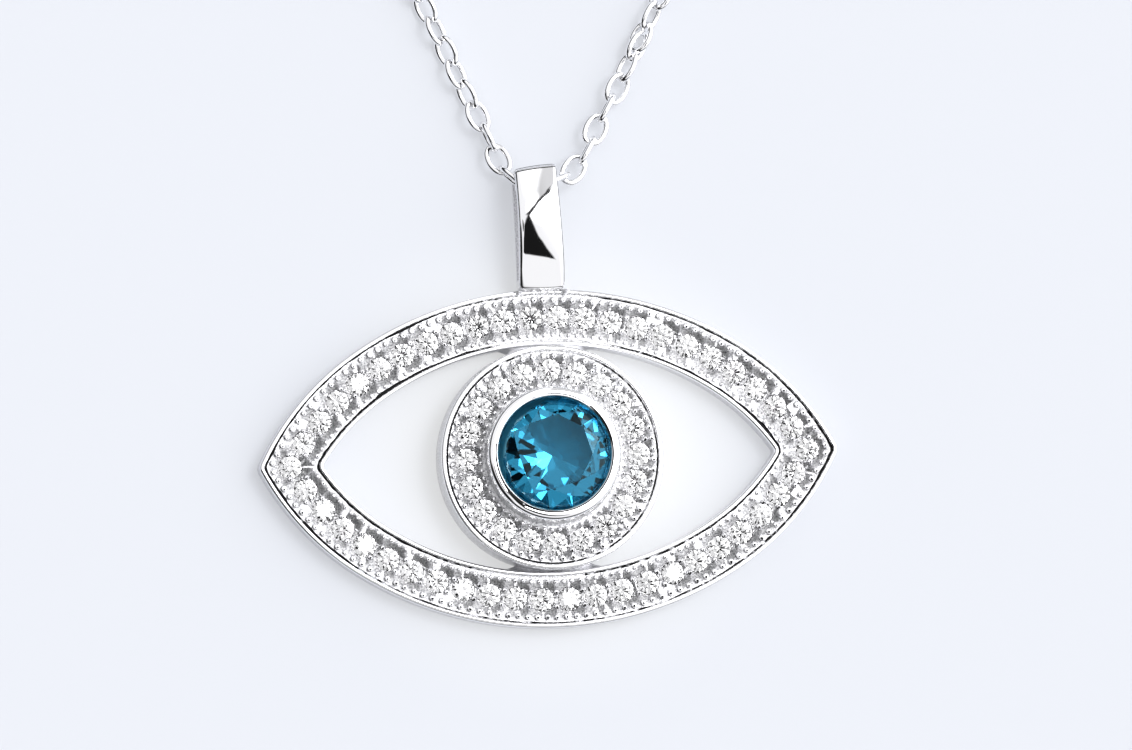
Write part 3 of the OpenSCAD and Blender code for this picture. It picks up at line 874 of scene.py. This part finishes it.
for name, places, z, seed, node in (("band_stones", eye_places, STONE_Z, 4, "eye_stones"),
                                    ("disc_stones", iris_places, IRIS_FLOOR, 9, "iris_stones")):
    p, f, s = small_stones(places, z, seed)
    make_piece(name, p, f, [zirconia], s, crease=1, slot="white_stone", replaces=node)

# %% Blue stone
BLUE_D, BLUE_Z = 5.46, 2.90
x, y = LEANS * (BLUE_Z - IRIS_FLOOR) + [-0.01, 0.03]
spin, tip, tip_way = (radians(a) for a in (-6.3, 4.6, 160))
p, f = set_stone(BLUE_D, (x, y, BLUE_Z), spin, tip, tip_way, table=0.66, crown=0.14, pavilion=0.415)
make_piece("blue_stone", p, f, [blue_crystal], crease=1, slot="blue_stone", replaces="centre_stone")

# %% [markdown]
# ## Bail
# The bail is one strip of silver, folded into a loop and soldered by its foot to the band.
# Its face is a long convex mirror, a little crowned across, with rounded edges. It is swept
# round the CAD's side outline, made a little longer, from an outer and an inner path. It
# leans 1.7 degrees and its fold is slanted. A dark crease crosses the fold, a satin strip
# lies beyond it and then a dark band, and a dark outline follows the right edge. The crease
# is a real notch, and its dark, the band and the outline are painted shade.

# %% Bail
BAIL_L, BAIL_DEPTH, BAIL_T, FACE_R, CREASE = 5.97, 2.6, 0.4, 6.9, 1.12
BAIL_SHIFT, BAIL_LEAN, FOLD_SLANT = -0.08, 0.029, 0.11
FOOT_N, FACE_N, FOLD_N = 8, 100, 3
foot_y = EYE_H / 2 - 0.1
fold_y = foot_y + BAIL_L
crest = np.array([foot_y + 3.6, BAIL_DEPTH - FACE_R])


def bail_path(inset, foot):
    """Closed side outline, y and z, with the same number of points at any inset."""
    r = max(0.3 - inset, 0.05)
    reach = FACE_R - inset - r
    y1, y0 = fold_y - inset - r, foot + inset + r
    fold_c = np.array([y1, crest[1] + sqrt(reach ** 2 - (y1 - crest[0]) ** 2)])
    foot_c = np.array([y0, crest[1] + sqrt(reach ** 2 - (y0 - crest[0]) ** 2)])
    back_c = np.array([y1, inset + r])
    heel_c = np.array([y0, inset + r])
    turn_fold = atan2(*(fold_c - crest)[::-1])
    turn_foot = atan2(*(foot_c - crest)[::-1])
    arc = lambda c, rad, a, b, n: [c + rad * np.array([cos(t), sin(t)]) for t in np.linspace(a, b, n)]
    path = arc(foot_c, r, pi, turn_foot, FOOT_N)
    path += arc(crest, FACE_R - inset, turn_foot, turn_fold, FACE_N)[1:-1]
    path += arc(fold_c, r, turn_fold, CREASE + 0.09, FOLD_N)
    path += arc(fold_c, r - (0.06 if inset == 0 else 0), CREASE, CREASE, 1)
    path += arc(fold_c, r, CREASE - 0.09, 0, 7)
    path += [np.array([fold_y - inset, z]) for z in np.linspace(fold_c[1], back_c[1], 10)[1:-1]]
    path += arc(back_c, r, 0, -pi / 2, 8)
    path += [np.array([y, inset]) for y in np.linspace(y1, y0, 14)[1:-1]]
    path += arc(heel_c, r, -pi / 2, -pi, 6)
    path += [np.array([foot + inset, z]) for z in np.linspace(heel_c[1], foot_c[1], 8)[1:-1]]
    return path


def bail_half(y, z):
    """Half the strip's width, which flares at the foot and is less at the back."""
    share = min(max((fold_y - y) / BAIL_L, 0), 1)
    front = 1.0 + 0.125 * share ** 2
    return front - 0.1 * min(max((BAIL_DEPTH - BAIL_T - z) / 1.8, 0), 1)


points, rings = [], []
across = [(-1, 1.0), (-1, 0.6), (-1, 0.34), (-0.99, 0.22), (-0.965, 0.12), (-0.925, 0.05), (-0.875, 0.012)]
across += [(u, 0.0) for u in np.linspace(-0.82, 0.82, 27)]
across += [(-u, d) for u, d in reversed(across[:7])]
for outer_p, inner_p in zip(bail_path(0, foot_y), bail_path(BAIL_T, foot_y + 0.15)):
    ring = []
    for u, d in across:
        half = bail_half(outer_p[0], outer_p[1])
        crown = 0.14 * u * u * (1 - d)
        p = outer_p + (inner_p - outer_p) * min(d + crown, 1)
        slant = FOLD_SLANT * u * min(max((p[0] - fold_y + 1.3) / 1.0, 0), 1)
        ring.append((u * half + BAIL_SHIFT - BAIL_LEAN * (p[0] - foot_y), p[0] + slant, p[1]))
    add_ring(points, rings, ring)
crease_at = FOOT_N + FACE_N - 2 + FOLD_N
MIRROR, CAST, SATIN, DARK = range(4)
# The crease, the band beyond the satin strip and the face's right edge take the black skin: painted shade
bail_skin = []
for i in range(len(rings)):
    beyond = i - crease_at
    tone = DARK if beyond in (-1, 0) or 3 < beyond < 8 else SATIN if 0 < beyond < 4 else MIRROR
    strip = [tone] * len(across)
    strip[0] = strip[1] = strip[-2] = strip[-3] = SATIN
    strip[3] = strip[-1] = CAST
    strip[-4] = strip[-5] = DARK if FOOT_N < i < crease_at else CAST
    bail_skin += strip
make_piece("bail", points, bridge(rings), [polished, as_cast, satin, painted_dark], bail_skin, crease=35)

# %% [markdown]
# ## Bail's solder
# The foot is soldered on the band's edge. The solder creeps up the foot and flares at its
# two corners, and it keeps the grain that it froze with.

# %% Bail's solder
def bail_solder(n=56, m=8):
    """A hollow fillet along the foot's front, with a flare at each corner."""
    points, rings = [], []
    for k in range(n + 1):
        u = 2 * k / n - 1
        x = 1.36 * u - 0.06
        flare = exp(-((abs(u) - 0.83) / 0.09) ** 2)
        ripple = 0.02 * sin(k * 1.9) + 0.015 * sin(k * 0.8)
        tall, reach = 0.06 + 0.36 * flare + ripple, 0.08 + 0.18 * flare + ripple
        if abs(u) > 0.86:
            tall *= max(1 - (abs(u) - 0.86) / 0.14, 0.05)
        lip_y = brow[1] + sqrt(BROW_R ** 2 - x * x)
        back = min(foot_y + 0.16, lip_y - 0.02)
        ring = [(x, back, 1.10), (x, back, 1.19 + tall)]
        for j in range(1, m + 1):
            t = j / m
            ring.append((x, foot_y + 0.02 - reach * t, 1.19 + tall * (1 - t) ** 2.2))
        ring.append((x, foot_y + 0.02 - reach, 1.10))
        add_ring(points, rings, ring)
    return points, bridge(rings, wrap=False) + [tuple(rings[0]), tuple(reversed(rings[-1]))]


make_piece("bail_solder", *bail_solder(), [as_cast], crease=50)

# %% [markdown]
# ## Chain
# A cable chain is bent from fine wire, every link at a right angle to the next. The links
# follow the route of the CAD's tube, with points of their own at the clasp and near the
# bail, where they are drawn up against its fold. They are spaced by a link's inner length,
# so that they hang in each other. At the bail one link stands on edge and the next lies
# flat, and along the strands all of them roll over to forty-five degrees.

# %% Chain route
LINK_L, LINK_W, WIRE = 1.72, 1.24, 0.287
LIE = 0.5
# Places in mm. One without a height lies on the table.
left_route = [
    (0.47, 169, 0.6), (-4, 168.7), (-15, 166.5), (-29, 159), (-40, 146), (-46, 128), (-45, 107),
    (-38, 87), (-28.5, 68), (-18.5, 50), (-10.5, 34), (-4.8, 21.4), (-3.75, 18.9), (-2.72, 16.57, 0.55),
    (-2.23, 15.45, 0.62), (-1.8, 14.4, 0.72), (-1.35, 13.62, 0.95), (-0.45, 12.99, 1.2),
    (0.72, 13.26, 1.2), (1.78, 13.82, 0.9),
]
right_route = [
    (1.78, 13.82, 0.9), (2.56, 14.85, 0.65), (3.03, 15.9, 0.6), (3.65, 16.94, 0.55), (4.2, 17.85),
    (4.75, 19), (5.38, 20), (5.9, 21.1), (13, 34), (22.5, 50), (34, 68), (45, 87), (53, 107),
    (54.5, 128), (49, 146), (38.5, 159), (24.5, 166.5), (12, 168.8), (8.80, 169, 0.95),
]


def smooth(p, u):
    """A place on the smooth curve through the points, u from 0 at the first."""
    last = len(p) - 1
    i = min(int(u), last - 1)
    t = u - i
    a, b, c, d = p[max(i - 1, 0)], p[i], p[i + 1], p[min(i + 2, last)]
    bend, twist = 2 * a - 5 * b + 4 * c - d, 3 * b - a - 3 * c + d
    return 0.5 * (2 * b + (c - a) * t + bend * t * t + twist * t ** 3)


def link_centres(points):
    """Centres of links along a route, both ends included, at most an inner length apart."""
    p = np.array([tuple(q) + (LIE,) * (3 - len(q)) for q in points])
    fine = np.array([smooth(p, u) for u in np.linspace(0, len(p) - 1, 8001)])
    runs = np.concatenate([[0], np.cumsum(np.linalg.norm(np.diff(fine, axis=0), axis=1))])
    count = ceil(runs[-1] / (LINK_L - 2 * WIRE))
    at = np.linspace(0, runs[-1], count + 1)
    return np.array([[np.interp(s, runs, fine[:, k]) for k in range(3)] for s in at]), runs[-1]


left_centres, left_run = link_centres(left_route)
right_centres, right_run = link_centres(right_route)
print("left", round(left_run, 1), "mm and", len(left_centres) - 1, "links")
print("right", round(right_run, 1), "mm and", len(right_centres), "links")


# %% Links
def wire_loop(path, r, thick, sides):
    """Round wire along a closed flat path of middles and outward ways. thick points out of its plane."""
    points, rings = [], []
    turns = np.linspace(0, 2 * pi, sides, endpoint=False)
    for mid, out_way in path:
        add_ring(points, rings, [mid + r * (cos(q) * out_way + sin(q) * thick) for q in turns])
    return points, bridge(rings)


def link(centre, ahead, roll_a, size=(LINK_L, LINK_W, WIRE)):
    """One oval wire link about its centre, its long way ahead, turned by roll_a."""
    ahead = ahead / np.linalg.norm(ahead)
    flat = np.cross([0, 0, 1], ahead)
    flat /= np.linalg.norm(flat)
    wide = cos(roll_a) * flat + sin(roll_a) * np.cross(ahead, flat)
    long, across_it, wire = size
    a, b = (long - wire) / 2, (across_it - wire) / 2
    path = []
    for t in np.linspace(0, 2 * pi, 24, endpoint=False):
        ct, st = cos(t), sin(t)
        out_way = ct / a * ahead + st / b * wide
        mid = centre + a * ct * ahead + b * copysign(abs(st) ** 0.85, st) * wide
        path.append((mid, out_way / np.linalg.norm(out_way)))
    return wire_loop(path, wire / 2, np.cross(ahead, wide), 10)


def strand(centres, first, rolls, end=None):
    """All links of a strand from its bail end on. rolls gives a link's roll by its number.

    end is a finished link that takes the last one's place."""
    parts = []
    for k in range(first, len(centres) - (1 if end else 0)):
        ahead = centres[min(k + 1, len(centres) - 1)] - centres[max(k - 1, 0)]
        roll_a = rolls(k)
        rise = WIRE / 2 + (LINK_W - WIRE) / 2 * max(abs(sin(roll_a)), abs(cos(roll_a)))
        centre = centres[k] + [0, 0, max(rise - LIE, 0) if centres[k][2] < 0.7 else 0]
        p, f = link(centre, ahead, roll_a)
        parts.append((p, f, [0] * len(f)))
    if end:
        parts.append((*end, [0] * len(end[1])))
    return merge(parts)


def roll_from_bail(k, start, early):
    """Links near the bail stand or lie flat. Further on they settle at forty-five degrees."""
    base = radians(90) if (k + start) % 2 else 0.0
    settle = 1 - exp(-max(k - early, 0) / 3.0)
    return base + settle * (pi / 4 + 0.22 * sin(k * 0.31) + 0.16 * sin(k * 0.083 + 1.0))


left_out = left_centres[::-1]
# The clasp's eye lies 0.21 mm above the table, too low for the chain's own wire to pass under
# it. A longer link of finer wire stands on edge there and goes round the eye's wire.
END_LINK = (2.36, 1.2, 0.2)
end_link = link(np.array([0.65, 169, 0.604]), np.array([1.0, 0, 0]), radians(90), END_LINK)
p, f, s = strand(left_out, 1, lambda k: roll_from_bail(k, 0, 5), end_link)
make_piece("chain_links_left", p, f, [polished], crease=60, replaces="chain")
p, f, s = strand(right_centres, 0, lambda k: roll_from_bail(k, 0, 3))
make_piece("chain_links_right", p, f, [polished], crease=60, replaces="chain")

# %% [markdown]
# ## End ring
# A plain round jump ring joins the last link to the clasp's ring. It stands steeply, since
# it has to pass under the clasp's thick wire and back over it.

# %% End ring
def round_ring(centre, r_ring, r_wire, tilt):
    """A ring of wire, tilted about the X axis."""
    ways = [np.array([cos(t), sin(t) * cos(tilt), sin(t) * sin(tilt)])
            for t in np.linspace(0, 2 * pi, 48, endpoint=False)]
    path = [(np.asarray(centre) + r_ring * out_way, out_way) for out_way in ways]
    return wire_loop(path, r_wire, np.array([0, -sin(tilt), cos(tilt)]), 14)


p, f = round_ring((7.3, 169, 1.148), 1.1, 0.19, radians(60))
make_piece("chain_end_ring", p, f, [polished], crease=60, replaces="chain")
